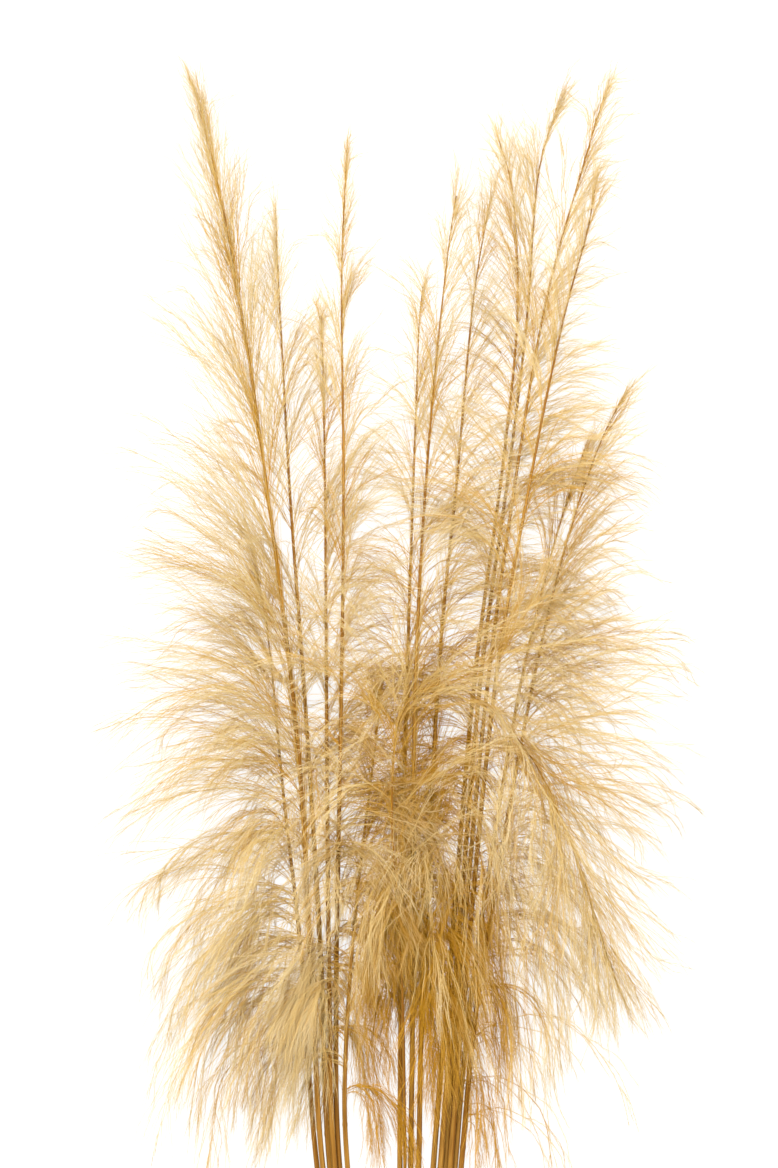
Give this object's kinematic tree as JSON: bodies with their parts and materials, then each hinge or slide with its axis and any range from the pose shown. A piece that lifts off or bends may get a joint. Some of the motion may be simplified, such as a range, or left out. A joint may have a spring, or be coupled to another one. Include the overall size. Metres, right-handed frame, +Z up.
{
  "type": "bundle of pampas grass",
  "caption": "Loose lying bunch of dried pampas grass: bare culms gathered at the cut ends, fanning out into long feathery straw-coloured plumes.",
  "frame": {"origin": "on the surface that the bundle lies on, under the middle stem of the lower row where the stems are gathered", "axes": "+Y along the bundle from the cut ends to the plume tips, +X to the right seen from above, +Z up from the surface"},
  "size_m": [0.602, 1.3906, 0.1808],
  "materials": {
    "straw": "dry, matt straw with fine pale hairs"
  },
  "bodies": {
    "root": {"plume_01": "straw", "plume_02": "straw", "plume_03": "straw", "plume_04": "straw", "plume_05": "straw", "plume_06": "straw", "plume_07": "straw", "plume_08": "straw", "plume_09": "straw", "plume_10": "straw", "plume_11": "straw", "plume_12": "straw", "plume_13": "straw", "plume_14": "straw", "plume_15": "straw", "plume_16": "straw"}
  },
  "joints": []
}
